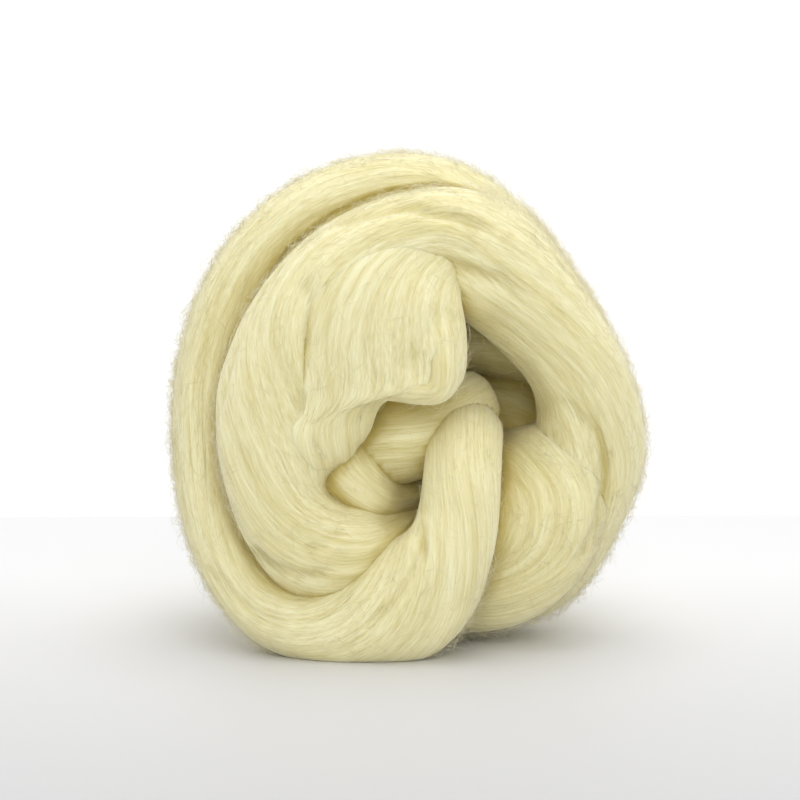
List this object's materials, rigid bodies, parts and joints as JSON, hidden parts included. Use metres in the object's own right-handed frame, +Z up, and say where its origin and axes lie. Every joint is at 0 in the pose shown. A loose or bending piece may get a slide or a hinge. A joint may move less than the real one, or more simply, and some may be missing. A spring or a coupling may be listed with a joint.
{
  "type": "wool roving",
  "caption": "Nest of soft combed wool sliver, wound round itself in broad folded laps and standing on its edge.",
  "frame": {"origin": "on the surface it stands on, under the middle of the box around the nest", "axes": "+Z up, -Y out of the side with the folded laps, +X to the right when that side is looked at"},
  "size_m": [0.155, 0.1189, 0.1588],
  "materials": {
    "wool": "matt cream fibre with a faint sheen, undyed"
  },
  "bodies": {
    "root": {"wool_roving": "wool"}
  },
  "joints": []
}
